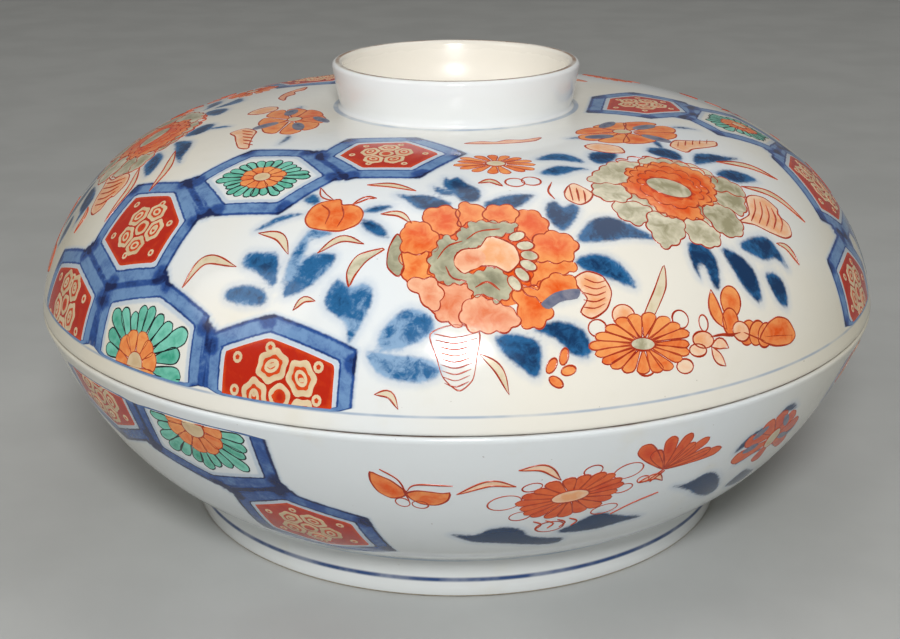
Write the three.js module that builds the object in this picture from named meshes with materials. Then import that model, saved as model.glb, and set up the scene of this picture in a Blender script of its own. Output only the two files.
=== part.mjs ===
// Lidded porcelain rice bowl: a footed bowl and a domed cover with a ring handle.
// Millimetres, +Z up. The origin is the centre of the foot ring's resting plane.
import * as THREE from 'three';

const SEGMENTS = 80; // facets around each piece

// Bowl, outside
const RIM_R = 120.0; // common outer radius of the bowl and lid at the seam
const SEAM_Z = 64.0; // height of the seam above the table
const SEAM_GAP = 0.4; // clearance between the two resting rims
const FOOT_FACE_IN = 75.2; // flat resting face of the foot ring, inner and outer radius
const FOOT_FACE_OUT = 78.8;
const FOOT_R = 79.7; // outer wall of the foot ring
const FOOT_FLARE = 0.2; // how much wider the foot wall is at its top
const FOOT_H = 9.0; // height of the foot ring's outer wall
const BODY_START = [81.6, 12.2]; // where the bowl's belly leaves the foot fillet
const BODY_PULL_LOW = [101.0, 22.4];
const BODY_PULL_HIGH = [112.2, 41.0];

// Bowl, inside
const BOWL_WALL = 4.4;
const BOWL_FLOOR_Z = 14.2; // lowest point of the inside
const RECESS_Z = 9.6; // ceiling of the hollow under the foot
const FOOT_INNER_R = 73.6; // inner wall of the foot ring

// Lid, outside
const LID_PULL_RIM = [118.0, 77.7];
const LID_PULL_TOP = [104.2, 121.2];
const RING_BASE_R = 33.1; // where the ring handle stands on the dome
const RING_BASE_Z = 115.3;
const RING_TOP_R = 35.3; // flared outer edge of the ring handle
const RING_TOP_Z = 128.5;
const RING_FACE_IN = 33.2; // flat top of the ring handle, inner and outer radius
const RING_FACE_OUT = 34.5;
const RING_WALL_IN = 32.3; // inner wall of the ring handle at its top
const RING_FLOOR_R = 30.2; // inner wall of the ring handle at its floor
const RING_FLOOR_Z = 116.2;

// Lid, inside
const LID_WALL = 4.2;
const FLANGE_R = 112.9; // unglazed locating flange that drops inside the bowl's rim
const FLANGE_TAPER = 0.7;
const FLANGE_THICK = 2.6;
const FLANGE_DROP = 3.6; // how far it reaches below the seam

const EDGE_ROUND = 0.8; // rounding of the rims at the seam

const point = ([r, z]) => new THREE.Vector2(r, z);

// Points of a cubic curve, ends included.
function curve(start, pullA, pullB, end, steps) {
  return new THREE.CubicBezierCurve(point(start), point(pullA), point(pullB), point(end))
    .getPoints(steps);
}

// The same run of points moved to its left by a distance.
function offset(points, distance) {
  return points.map((p, i) => {
    const a = points[Math.max(i - 1, 0)];
    const b = points[Math.min(i + 1, points.length - 1)];
    const along = b.clone().sub(a).normalize();
    return new THREE.Vector2(p.x - along.y * distance, p.y + along.x * distance);
  });
}

// Quarter-round corner from one point to another around a centre.
function corner(centreR, centreZ, radius, fromDeg, toDeg, steps = 3) {
  const points = [];
  for (let i = 0; i <= steps; i++) {
    const a = THREE.MathUtils.degToRad(fromDeg + ((toDeg - fromDeg) * i) / steps);
    points.push(new THREE.Vector2(centreR + radius * Math.cos(a), centreZ + radius * Math.sin(a)));
  }
  return points;
}

// Solid of revolution about +Z; the profile starts and ends on the axis.
function turned(name, profile, colour) {
  const geometry = new THREE.LatheGeometry(profile, SEGMENTS).rotateX(Math.PI / 2);
  const material = new THREE.MeshStandardMaterial({ color: colour, roughness: 0.2 });
  material.name = `${name}_glaze`;
  const mesh = new THREE.Mesh(geometry, material);
  mesh.name = name;
  return mesh;
}

function bowl() {
  const rimZ = SEAM_Z - SEAM_GAP / 2;
  const belly = curve(BODY_START, BODY_PULL_LOW, BODY_PULL_HIGH, [RIM_R, rimZ - EDGE_ROUND], 12);
  const inside = offset(belly, BOWL_WALL).reverse().filter((p) => p.y < rimZ - EDGE_ROUND);
  const innerRim = inside[0];
  const profile = [
    [0, RECESS_Z],
    [FOOT_INNER_R - 4.0, RECESS_Z],
    [FOOT_INNER_R - 1.0, RECESS_Z - 1.0],
    [FOOT_INNER_R, RECESS_Z - 4.0],
    [FOOT_INNER_R + 0.5, 1.2],
    [FOOT_FACE_IN, 0],
    [FOOT_FACE_OUT, 0],
    [FOOT_R, 0.9],
    [FOOT_R + FOOT_FLARE, FOOT_H],
    [FOOT_R + FOOT_FLARE + 0.6, FOOT_H + 1.9],
  ].map(point);
  profile.push(
    ...belly,
    ...corner(RIM_R - EDGE_ROUND, rimZ - EDGE_ROUND, EDGE_ROUND, 30, 90, 2),
    new THREE.Vector2(innerRim.x + EDGE_ROUND, rimZ),
    new THREE.Vector2(innerRim.x + 0.3, rimZ - 0.6),
    ...inside,
    new THREE.Vector2(72.0, BOWL_FLOOR_Z + 0.4),
    new THREE.Vector2(0, BOWL_FLOOR_Z),
  );
  return turned('bowl', profile, 0xdfe3e0);
}

function lid() {
  const rimZ = SEAM_Z + SEAM_GAP / 2;
  const dome = curve([RIM_R, rimZ + EDGE_ROUND], LID_PULL_RIM, LID_PULL_TOP,
    [RING_BASE_R + 1.2, RING_BASE_Z], 16);
  const under = offset(dome, LID_WALL).reverse();
  const flangeIn = FLANGE_R - FLANGE_THICK;
  const profile = [
    [0, under[0].y],
    ...under.slice(0, -2).map((p) => [p.x, p.y]),
    [flangeIn + 0.6, rimZ + 4.0],
    [flangeIn, rimZ],
    [flangeIn, SEAM_Z - FLANGE_DROP + 0.5],
    [flangeIn + 0.5, SEAM_Z - FLANGE_DROP],
    [FLANGE_R - FLANGE_TAPER - 0.5, SEAM_Z - FLANGE_DROP],
    [FLANGE_R - FLANGE_TAPER, SEAM_Z - FLANGE_DROP + 0.5],
    [FLANGE_R, rimZ],
  ].map(point);
  profile.push(
    ...corner(RIM_R - EDGE_ROUND, rimZ + EDGE_ROUND, EDGE_ROUND, -90, -30, 2),
    ...dome,
  );
  const ring = [
    [RING_BASE_R, RING_BASE_Z + 0.8],
    [RING_TOP_R, RING_TOP_Z - 1.1],
    [RING_TOP_R - 0.2, RING_TOP_Z - 0.4],
    [RING_FACE_OUT, RING_TOP_Z],
    [RING_FACE_IN, RING_TOP_Z],
    [RING_WALL_IN, RING_TOP_Z - 0.8],
    [RING_FLOOR_R, RING_FLOOR_Z + 1.2],
    [RING_FLOOR_R - 1.2, RING_FLOOR_Z],
    [0, RING_FLOOR_Z],
  ].map(point);
  return turned('lid', profile.concat(ring), 0xe4e6e1);
}

const group = new THREE.Group();
group.name = 'rice_bowl';
group.add(bowl(), lid());

export default group;
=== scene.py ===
import math
import random

import bpy
import numpy as np
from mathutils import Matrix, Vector, geometry


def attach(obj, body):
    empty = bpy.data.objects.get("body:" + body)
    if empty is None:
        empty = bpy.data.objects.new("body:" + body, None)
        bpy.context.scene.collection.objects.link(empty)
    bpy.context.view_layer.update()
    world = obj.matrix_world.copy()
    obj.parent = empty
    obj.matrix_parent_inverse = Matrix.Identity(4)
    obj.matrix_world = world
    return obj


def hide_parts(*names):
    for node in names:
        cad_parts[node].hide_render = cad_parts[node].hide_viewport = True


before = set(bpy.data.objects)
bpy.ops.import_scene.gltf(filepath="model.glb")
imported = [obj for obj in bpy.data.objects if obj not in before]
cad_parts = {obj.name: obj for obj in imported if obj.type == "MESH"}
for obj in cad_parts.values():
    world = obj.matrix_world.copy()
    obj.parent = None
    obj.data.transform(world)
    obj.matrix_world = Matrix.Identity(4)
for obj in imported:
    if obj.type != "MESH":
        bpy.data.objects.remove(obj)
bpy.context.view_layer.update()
rng = random.Random(7)

# ---------------------------------------------------------------- dimensions, in millimetres
MM = 0.001
SEAM_Z = 64.0
SEAM_GAP = 0.4
RIM_R = 120.0
EDGE = 0.8  # rounding of the two rims at the seam
LID_WALL = 4.2
BOWL_WALL = 4.4
RING_BASE = (34.3, 115.3)  # where the ring handle meets the dome
RING_WALL_MIDDLE = 7.5  # how far before that the middle of the ring's outer wall is, along the profile
FOOT_TOP = (81.6, 12.2)  # where the belly leaves the foot
LID_PULLS = ((104.2, 121.2), (118.0, 77.7))
BOWL_PULLS = ((101.0, 22.4), (112.2, 41.0))
LID_MARGIN = 105.6  # painting on the lid ends this far down the dome
BOWL_MARGIN = 61.4  # painting on the bowl ends this far up the belly
AROUND = 512  # vertices round each body

# How far each layer of enamel stands proud of the glaze
GROUND, MIDDLE, UPPER, LINES = 0.05, 0.125, 0.17, 0.21
EDGE_DIP = 0.02  # how much lower a shape is at its edge
LINE_RISE = 0.02  # how much higher than a shape the line round it is
OVERLAP = 0.05  # how much higher a petal is than the one it overlaps
DOT_RISE = 0.03  # how much higher the middle of a flower is than its upper layer
SINK = 0.05  # how deep the edge of a shape goes into the glaze
LINE_SINK = 0.03  # how deep the edges of a line go into it
EDGE_WIDTH = 0.9  # width of the dip round a shape
GRID = 1.7  # spacing of the vertices inside a shape
STEP = 0.8  # spacing of the vertices along an outline
SMALLEST = 0.3  # a shape narrower than this is left out

NOWHERE = -200.0  # a distance along a profile that lies before its start

# The underglaze blue
FAR = 30.0  # stands for any distance too great to matter
LEAF_REACH = 3.0  # how far outside a leaf the distance to it is measured
BAND = 5.3  # width of the blue band round a panel
CORNER_SPOT = 4.6  # how far outside a panel's corner the blue has pooled
MARGIN_FADE = 9.0  # how steeply the painting ends at the margin
PANEL_CLEAR = 0.9  # how far the flower in a panel stays from its edge
PANEL_SIZE = 16.5  # a red panel of this mean radius has a flower of its plain size


# ---------------------------------------------------------------- outlines
def bezier(start, pull_a, pull_b, end, steps):
    """Points of a cubic curve, ends included."""
    t = np.linspace(0.0, 1.0, steps)[:, None]
    a, b, c, d = (np.array(p) for p in (start, pull_a, pull_b, end))
    return (1 - t) ** 3 * a + 3 * (1 - t) ** 2 * t * b + 3 * (1 - t) * t ** 2 * c + t ** 3 * d


def lengths(points):
    """How far along a run of points each one lies."""
    return np.concatenate([[0.0], np.cumsum(np.hypot(*np.diff(points, axis=0).T))])


def respaced(points, step):
    """The same run of points, evenly spaced by about step."""
    along = lengths(points)
    count = max(int(round(along[-1] / step)), 1) + 1
    at = np.linspace(0.0, along[-1], count)
    return np.stack([np.interp(at, along, points[:, i]) for i in (0, 1)], -1)


def smooth(points, closed, step=STEP, pull=1.0):
    """A Catmull-Rom curve through the points, evenly spaced. Less pull makes it hug its corners."""
    p = np.array(points, float)
    if closed:
        p = np.concatenate([p[-1:], p, p[:2]])
    else:
        p = np.concatenate([2 * p[:1] - p[1:2], p, 2 * p[-1:] - p[-2:-1]])
    t = np.linspace(0.0, 1.0, 9)[:-1, None]
    parts = []
    for a, b, c, d in zip(p, p[1:], p[2:], p[3:]):
        go, come = (c - a) * pull / 2, (d - b) * pull / 2
        parts.append(b + go * t + (3 * (c - b) - 2 * go - come) * t ** 2
                     + (2 * (b - c) + go + come) * t ** 3)
    curve = np.concatenate(parts + [p[-2:-1]])
    curve = respaced(curve, step)
    return curve[:-1] if closed else curve


def ellipse(centre, rx, ry, turn=0.0, lobes=0, depth=0.0):
    """A closed ellipse turned by degrees, its edge waved into lobes."""
    count = max(int(math.pi * (rx + ry) / 0.7), 14)
    a = np.linspace(0.0, 2 * math.pi, count, endpoint=False)
    swell = 1.0 - depth * (0.5 - 0.5 * np.cos(a * lobes)) if lobes else 1.0
    x, y = rx * np.cos(a) * swell, ry * np.sin(a) * swell
    c, s = math.cos(math.radians(turn)), math.sin(math.radians(turn))
    return np.stack([centre[0] + c * x - s * y, centre[1] + s * x + c * y], -1)


def ruffled(outline, wave, depth):
    """A closed outline with its edge swelling outwards in a row of small lobes."""
    loop = respaced(np.concatenate([outline, outline[:1]]), 0.5)
    along = lengths(loop)[:-1]
    way = np.roll(loop[:-1], -1, axis=0) - np.roll(loop[:-1], 1, axis=0)
    way /= np.hypot(*way.T)[:, None]
    out = np.stack([way[:, 1], -way[:, 0]], -1)
    if not inside((loop[:1] - out[:1] * 0.3), loop[:-1])[0]:
        out = -out
    lobes = max(round(lengths(loop)[-1] / wave), 3)
    swell = np.abs(np.sin(math.pi * lobes * along / lengths(loop)[-1]))
    return loop[:-1] + out * (depth * (swell - 0.4))[:, None]


def inside(points, outline):
    """Which points lie inside a closed outline."""
    x, y = points[:, 0][:, None], points[:, 1][:, None]
    ax, ay = outline[:, 0], outline[:, 1]
    bx, by = np.roll(ax, -1), np.roll(ay, -1)
    crosses = ((ay > y) != (by > y)) & (x < (bx - ax) * (y - ay) / (by - ay + 1e-12) + ax)
    return crosses.sum(1) % 2 == 1


def sides(polygon, middle):
    """Each side of a convex polygon, as one of its points and its outward direction."""
    for a, b in zip(polygon, np.roll(polygon, -1, axis=0)):
        n = np.array([b[1] - a[1], a[0] - b[0]]) / math.dist(a, b)
        if (middle - a) @ n > 0:
            n = -n
        yield a, n


def edge_distance(points, outline):
    """Distance of each point from a closed outline."""
    best = np.full(len(points), 1e9)
    for a, b in zip(outline, np.roll(outline, -1, axis=0)):
        ab = b - a
        t = np.clip(((points - a) @ ab) / max(ab @ ab, 1e-9), 0.0, 1.0)
        best = np.minimum(best, np.hypot(*(points - a - t[:, None] * ab).T))
    return best


# ---------------------------------------------------------------- painted skins and charts
class Skin:
    """The outer curve of a body of revolution, measured along itself from its narrow end."""

    def __init__(self, curve, out):
        self.curve = curve
        self.along = lengths(curve)
        self.length = self.along[-1]
        slope = np.gradient(curve, axis=0)
        slope /= np.hypot(*slope.T)[:, None]
        self.normal = np.stack([-slope[:, 1], slope[:, 0]], -1) * out

    def at(self, s):
        """Radius and height at a distance along the skin."""
        return [np.interp(s, self.along, self.curve[:, i]) for i in (0, 1)]

    def place(self, angle, s, lift):
        """World points in mm at an angle (radians about +Z), s along the skin and lift above it."""
        r, z = self.at(s)
        nr = np.interp(s, self.along, self.normal[:, 0])
        nz = np.interp(s, self.along, self.normal[:, 1])
        r = r + nr * lift
        return np.stack([r * np.cos(angle), r * np.sin(angle), z + nz * lift], -1)


class LidChart:
    """The dome seen flat from above: distance from the centre is the distance along the dome,
    measured from the axis, and -y is the front. The whole chart may be turned about the axis."""

    def __init__(self, skin, turn=0.0):
        self.skin = skin
        self.turn = math.radians(turn)
        self.limit = RING_BASE[0] + LID_MARGIN

    def place(self, xy, lift):
        rho = np.hypot(*xy.T)
        angle = np.arctan2(xy[:, 1], xy[:, 0]) + self.turn
        return self.skin.place(angle, rho - RING_BASE[0], lift)

    def turned(self, degrees):
        return LidChart(self.skin, math.degrees(self.turn) + degrees)

    def coords(self, angle, s):
        """Chart coordinates of a point of the skin."""
        rho = s + RING_BASE[0]
        return np.stack([rho * np.cos(angle - self.turn), rho * np.sin(angle - self.turn)], -1)

    def trim(self, xy):
        """The outline with whatever passes the margin laid back on it."""
        rho = np.hypot(*xy.T)
        return xy * np.minimum(1.0, self.limit / rho)[:, None]

    def keeps(self, xy):
        """Which points lie within the painted part."""
        return np.hypot(*xy.T) <= self.limit + 0.01


class BowlChart:
    """A patch of the belly round a point: x is round the belly to the right, y is up it."""

    def __init__(self, skin, degrees, s):
        self.skin = skin
        self.degrees = degrees
        self.angle = math.radians(degrees - 90.0)
        self.s = s

    def turned(self, degrees):
        return BowlChart(self.skin, self.degrees + degrees, self.s)

    def place(self, xy, lift):
        s = np.clip(self.s + xy[:, 1], 0.0, self.skin.length)
        r, _ = self.skin.at(s)
        return self.skin.place(self.angle + xy[:, 0] / r, s, lift)

    def coords(self, angle, s):
        r, _ = self.skin.at(s)
        turn = (angle - self.angle + math.pi) % (2 * math.pi) - math.pi
        return np.stack([turn * r, s - self.s], -1)

    def trim(self, xy):
        top = BOWL_MARGIN - self.s
        return np.stack([xy[:, 0], np.clip(xy[:, 1], 0.6 - self.s, top)], -1)

    def keeps(self, xy):
        s = self.s + xy[:, 1]
        return (s <= BOWL_MARGIN + 0.01) & (s >= 0.5)


# ---------------------------------------------------------------- enamel laid on the glaze
class Enamel:
    """One colour of enamel on one body, gathered into one mesh of thin raised shapes."""

    def __init__(self):
        self.verts, self.faces, self.rim, self.tone = [], [], [], []
        self.count = 0

    def add(self, verts, faces, rim, tone):
        """Adds one shape: its vertices, each one's distance from the edge, and its depth of colour."""
        self.verts.append(verts)
        self.faces.extend([[i + self.count for i in f] for f in faces])
        self.rim.append(rim)
        self.tone.append(np.full(len(verts), tone))
        self.count += len(verts)

    def fill(self, chart, outline, lift):
        """A filled shape with a rounded edge that dips into the glaze."""
        if not chart.keeps(outline).any():
            return
        outline = chart.trim(respaced(np.concatenate([outline, outline[:1]]), STEP)[:-1])
        low, high = outline.min(0), outline.max(0)
        if min(high - low) < SMALLEST:
            return
        xs = np.arange(low[0], high[0], GRID)
        ys = np.arange(low[1], high[1], GRID)
        field = np.stack(np.meshgrid(xs, ys), -1).reshape(-1, 2)
        field = field[inside(field, outline)]
        if len(field):
            field = field[edge_distance(field, outline) > GRID * 0.45]
        flat = np.concatenate([outline, field]) if len(field) else outline
        ring = [(i, (i + 1) % len(outline)) for i in range(len(outline))]
        made = geometry.delaunay_2d_cdt([Vector(p) for p in flat.tolist()], ring, [], 1, 1e-4)
        points = np.array([tuple(p) for p in made[0]])
        tris = [list(f) for f in made[2]]
        if not tris:
            return
        inner = edge_distance(points, outline)
        top = chart.place(points, lift - EDGE_DIP * (1.0 - np.clip(inner / EDGE_WIDTH, 0.0, 1.0)))
        base = chart.place(outline, -SINK)
        lip = chart.place(outline, lift - EDGE_DIP)
        n, m = len(points), len(outline)
        for i in range(m):
            j = (i + 1) % m
            tris.append([n + i, n + j, n + m + j, n + m + i])
        verts = np.concatenate([top, base, lip])
        rim = np.concatenate([inner, np.zeros(2 * m)])
        self.add(verts, tris, rim, rng.random())

    def line(self, chart, path, width, lift=LINES, taper=True):
        """A brush line along a smooth path, thinning at its ends."""
        kept = path[chart.keeps(path)]
        if len(kept) < 3:
            return
        along = lengths(kept)
        way = np.gradient(kept, axis=0)
        way /= np.maximum(np.hypot(*way.T), 1e-6)[:, None]
        side = np.stack([-way[:, 1], way[:, 0]], -1)
        phase = rng.random() * 6.0  # the brush's pressure wavers along the line, and lifts at its ends
        half = 0.5 * width * (1.0 + 0.22 * np.sin(along * 0.45 + phase) + 0.1 * np.sin(along * 1.3))
        if taper:
            ends = np.minimum(along, along[-1] - along) / max(min(along[-1] * 0.25, 3.0), 0.1)
            half = half * (0.35 + 0.65 * np.clip(ends, 0.0, 1.0))
        half = half[:, None]
        shoulder = lift * 0.85
        rows = np.concatenate([
            chart.place(kept + side * half * out, height) for out, height in (
                (1.0, -LINE_SINK), (0.7, shoulder), (0.0, lift), (-0.7, shoulder), (-1.0, -LINE_SINK))])
        n = len(kept)
        faces = []
        for row in range(4):
            for i in range(n - 1):
                a = row * n + i
                faces.append([a, a + n, a + n + 1, a + 1])
        rim = np.repeat([0.0, 0.2, 0.4, 0.2, 0.0], n)
        self.add(rows, faces, rim, rng.random())

    def piece(self, name, body, slot, material):
        """The gathered shapes as one piece of the scene."""
        mesh = bpy.data.meshes.new(name)
        mesh.from_pydata((np.concatenate(self.verts) * MM).tolist(), [], self.faces)
        mark(mesh, "rim", np.concatenate(self.rim))
        mark(mesh, "tone", np.concatenate(self.tone))
        return added(name, mesh, body, material)


def added(name, mesh, body, material):
    """Puts a smooth-shaded mesh in the scene as a piece that rides on a body."""
    mesh.materials.append(material)
    mesh.polygons.foreach_set("use_smooth", [True] * len(mesh.polygons))
    mesh.update()
    piece = bpy.data.objects.new(name, mesh)
    bpy.context.scene.collection.objects.link(piece)
    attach(piece, body)
    return piece


class Brush:
    """Paints motifs through one chart with a body's enamels and its underglaze blue. A brush can
    be moved, so that a motif drawn at one place is painted at another, larger or smaller."""

    def __init__(self, chart, enamels, leaves, panels, scale=1.0, start=(0, 0), end=(0, 0)):
        self.chart = chart
        self.enamels = enamels
        self.leaves = leaves
        self.panels = panels
        self.scale = scale
        self.start, self.end = np.array(start, float), np.array(end, float)

    def moved(self, start, end, scale):
        """The same brush, painting what is round start round end instead."""
        return Brush(self.chart, self.enamels, self.leaves, self.panels, scale, start, end)

    def turned(self, degrees):
        """The same brush, painting further round the body."""
        return Brush(self.chart.turned(degrees), self.enamels, self.leaves, self.panels)

    def xy(self, points):
        """Where on the chart the brush puts some points."""
        return (np.array(points, float) - self.start) * self.scale + self.end

    def closed(self, colour, outline, lift=GROUND, edge="line", width=0.5):
        """A filled outline with a line drawn round it; either colour may be None."""
        outline = self.xy(outline)
        if colour:
            self.enamels[colour].fill(self.chart, outline, lift)
        if edge:
            self.enamels[edge].line(self.chart, np.concatenate([outline, outline[:2]]), width,
                                    lift + LINE_RISE, taper=False)

    def shape(self, colour, points, lift=GROUND, edge="line", width=0.5):
        """A filled shape with a smooth outline through a few points."""
        self.closed(colour, smooth(points, True, pull=0.75), lift, edge, width)

    def frilled(self, colour, points, wave=3.0, depth=0.7, lift=GROUND, width=0.42):
        """A shape with a lobed edge."""
        self.closed(colour, ruffled(smooth(points, True, pull=0.75), wave, depth), lift, "line", width)

    def oval(self, colour, centre, rx, ry, turn=0.0, lift=GROUND, edge="line", width=0.5, lobes=0,
             depth=0.0):
        """A filled ellipse, its edge waved into lobes if any are given."""
        self.closed(colour, ellipse(centre, rx, ry, turn, lobes, depth), lift, edge, width)

    def stroke(self, points, width=0.5):
        """A thin red line through a few points."""
        self.enamels["line"].line(self.chart, self.xy(smooth(points, False)), width)

    def leaf(self, ink, points):
        """A soft-edged leaf of underglaze blue; ink is how dark it is, 0 to 1."""
        self.leaves.append((self.chart, self.xy(smooth(points, True, 1.2)), ink))

    def wisp(self, ink, points, width):
        """A leaf or stem drawn with one stroke of a loaded brush."""
        upper, lower = sickle(points, width, 0.25, 1.2)
        self.leaves.append((self.chart, self.xy(np.concatenate([upper, lower[::-1]])), ink))

    def blade(self, points, width, colour="buff"):
        """A crescent between two curved red lines that meet at its ends."""
        upper, lower = (self.xy(side) for side in sickle(points, width, 0.0, STEP))
        if colour:
            body = np.concatenate([upper[1:-1], lower[1:-1][::-1]])
            self.enamels[colour].fill(self.chart, body, GROUND)
        for side in (upper, lower):
            self.enamels["line"].line(self.chart, side, 0.4)


def sickle(points, width, blunt, step):
    """The two sides of a stroke that swells from its ends to width at its middle."""
    path = smooth(points, False, step)
    way = np.gradient(path, axis=0)
    way /= np.hypot(*way.T)[:, None]
    side = np.stack([-way[:, 1], way[:, 0]], -1)
    swell = np.sin(np.linspace(blunt, math.pi - blunt / 2, len(path)))[:, None] * width / 2
    return path + side * swell, path - side * swell


# ---------------------------------------------------------------- the two porcelain bodies
def lid_profile():
    """Skin of the dome, the whole profile from the middle of the ring outwards and back inside,
    and where in it the dome starts."""
    rim_z = SEAM_Z + SEAM_GAP / 2
    dome = respaced(bezier(RING_BASE, *LID_PULLS, (RIM_R, rim_z + EDGE), 400), 1.0)
    skin = Skin(dome, 1.0)
    under = dome - skin.normal * LID_WALL
    ring = [(30.2, 117.4), (31.3, 122.5), (32.2, 127.2), (32.5, 128.1), (33.2, 128.48), (33.9, 128.5),
            (34.6, 128.42), (35.1, 127.95), (35.28, 127.3), (34.6, 123.5), (33.7, 118.4), (33.2, 116.6),
            (33.5, 115.7)]
    centre = [(0.0, 116.2), (14.0, 116.2), (26.0, 116.15), (29.2, 116.25)]
    corner = [(RIM_R - EDGE * (1 - math.cos(a)), rim_z + EDGE * (1 - math.sin(a)))
              for a in (0.45, 0.9, 1.25)]
    flange = [(117.6, rim_z), (113.2, rim_z), (112.8, SEAM_Z - 1.0), (112.2, SEAM_Z - 3.1),
              (111.7, SEAM_Z - 3.6), (110.8, SEAM_Z - 3.6), (110.3, SEAM_Z - 3.1), (110.35, rim_z + 1.0),
              (111.0, rim_z + 4.0)]
    inner = respaced(under[::-1][6:], 2.4)
    before = centre + ring
    profile = before + dome.tolist() + corner + flange + inner.tolist() + [(0.0, inner[-1][1])]
    return skin, np.array(profile), len(before)


def bowl_profile():
    """Skin of the belly, the whole profile from under the foot outwards and back inside, and
    where in it the belly starts."""
    rim_z = SEAM_Z - SEAM_GAP / 2
    belly = respaced(bezier(FOOT_TOP, *BOWL_PULLS, (RIM_R, rim_z - EDGE), 400), 1.0)
    skin = Skin(belly, -1.0)
    within = (belly - skin.normal * BOWL_WALL)[::-1]
    within = within[within[:, 1] < rim_z - EDGE]
    foot = [(0.0, 9.6), (40.0, 9.6), (68.0, 9.6), (71.0, 9.3), (72.8, 8.2), (73.5, 6.0), (73.8, 3.5),
            (74.1, 1.3), (74.5, 0.4), (75.2, 0.0), (76.9, 0.0), (78.8, 0.0), (79.4, 0.25), (79.7, 0.9),
            (79.7, 3.0), (79.75, 5.0), (79.8, 7.0), (79.9, 9.0), (80.2, 10.2), (80.7, 11.2)]
    corner = [(RIM_R - EDGE * (1 - math.cos(a)), rim_z - EDGE * (1 - math.sin(a)))
              for a in (0.45, 0.9, 1.25)]
    lip = [(118.2, rim_z), (within[0][0] + EDGE, rim_z), (within[0][0] + 0.4, rim_z - 0.5)]
    inner = respaced(within, 2.4)
    floor = [(72.0, 14.6), (50.0, 14.4), (25.0, 14.25), (0.0, 14.2)]
    return skin, np.array(foot + belly.tolist() + corner + lip + inner.tolist() + floor), len(foot)


def turned(profile, flip):
    """Vertices and faces of a body of revolution whose profile starts and ends on the axis."""
    angles = np.linspace(0.0, 2 * math.pi, AROUND, endpoint=False)
    rows = profile[1:-1]
    verts = np.stack([rows[:, 0, None] * np.cos(angles), rows[:, 0, None] * np.sin(angles),
                      np.repeat(rows[:, 1, None], AROUND, 1)], -1).reshape(-1, 3)
    first = len(verts)
    verts = np.concatenate([verts, [[0.0, 0.0, profile[0, 1]], [0.0, 0.0, profile[-1, 1]]]])
    faces = []
    for row in range(len(rows) - 1):
        for i in range(AROUND):
            a, b = row * AROUND + i, row * AROUND + (i + 1) % AROUND
            faces.append((a, b, b + AROUND, a + AROUND))
    last = (len(rows) - 1) * AROUND
    for i in range(AROUND):
        j = (i + 1) % AROUND
        faces.append((first, j, i))
        faces.append((first + 1, last + i, last + j))
    if flip:
        faces = [face[::-1] for face in faces]
    return verts, faces, angles


def panel_distance(points, polygon):
    """How far outside a convex panel each point lies, with square corners."""
    poly = np.array(polygon, float)
    away = np.full(len(points), -1e9)
    for a, n in sides(poly, poly.mean(0)):
        away = np.maximum(away, (points - a) @ n)
    return away


def blue_painting(skin, limit, angles, leaves, panels):
    """Distances over the skin that place the underglaze blue: leaves, panel bands and corners."""
    rows = len(skin.curve)
    s = np.repeat(skin.along, AROUND)
    angle = np.tile(angles, rows)
    far = np.full(len(s), FAR)
    field = {name: far.copy() for name in ("leaf", "band", "ridge", "blot")}
    field["ink"] = np.zeros(len(s))
    second = far.copy()
    for chart, polygon in panels:
        at = chart.coords(angle, s)
        distance = panel_distance(at, polygon)
        second = np.minimum(second, np.maximum(distance, field["band"]))
        field["band"] = np.minimum(field["band"], distance)
        middle = np.mean(polygon, axis=0)
        for corner in np.array(polygon, float):
            out = corner - middle
            spot = corner + out / np.hypot(*out) * CORNER_SPOT
            field["blot"] = np.minimum(field["blot"], np.hypot(*(at - spot).T))
    field["ridge"] = second - field["band"]
    for chart, outline, ink in leaves:
        at = chart.coords(angle, s)
        near = np.all((at > outline.min(0) - LEAF_REACH) & (at < outline.max(0) + LEAF_REACH), axis=1)
        if not near.any():
            continue
        close = at[near]
        distance = edge_distance(close, outline)
        distance[inside(close, outline)] *= -1.0
        nearest = distance < field["leaf"][near]
        index = np.flatnonzero(near)[nearest]
        field["leaf"][index] = distance[nearest]
        field["ink"][index] = ink
    past = s > limit
    for name in ("leaf", "band"):
        faded = np.maximum(field[name], 0.0) + MARGIN_FADE * (s - limit)
        field[name] = np.where(past, faded, field[name])
    return {name: np.clip(value, -FAR, FAR) for name, value in field.items()}


def mark(mesh, label, values):
    """Keeps one number for each vertex under a label, for the materials to read."""
    attribute = mesh.attributes.new(label, "FLOAT", "POINT")
    attribute.data.foreach_set("value", values.astype(np.float32))


def body_piece(name, body, outline, limit, flip, material, leaves, panels):
    """One porcelain body, with its underglaze blue and its way along the profile marked on it."""
    skin, profile, start = outline
    verts, faces, angles = turned(profile, flip)
    mesh = bpy.data.meshes.new(name)
    mesh.from_pydata((verts * MM).tolist(), [], faces)
    first = (start - 1) * AROUND  # the profile's first point is on the axis, and has no row
    for label, values in blue_painting(skin, limit, angles, leaves, panels).items():
        data = np.full(len(verts), 0.0 if label == "ink" else FAR)
        data[first:first + len(values)] = values
        mark(mesh, label, data)
    along = lengths(profile)
    along -= along[start]
    mark(mesh, "down", np.concatenate([np.repeat(along[1:-1], AROUND), along[[0, -1]]]))
    piece = added(name, mesh, body, material)
    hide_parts(body)
    return piece


# ---------------------------------------------------------------- materials
def srgb(r, g, b):
    """A colour given as 0 to 255 screen values, as Blender's linear colour."""
    def linear(v):
        v /= 255.0
        return v / 12.92 if v <= 0.04045 else ((v + 0.055) / 1.055) ** 2.4
    return (linear(r), linear(g), linear(b), 1.0)


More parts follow.
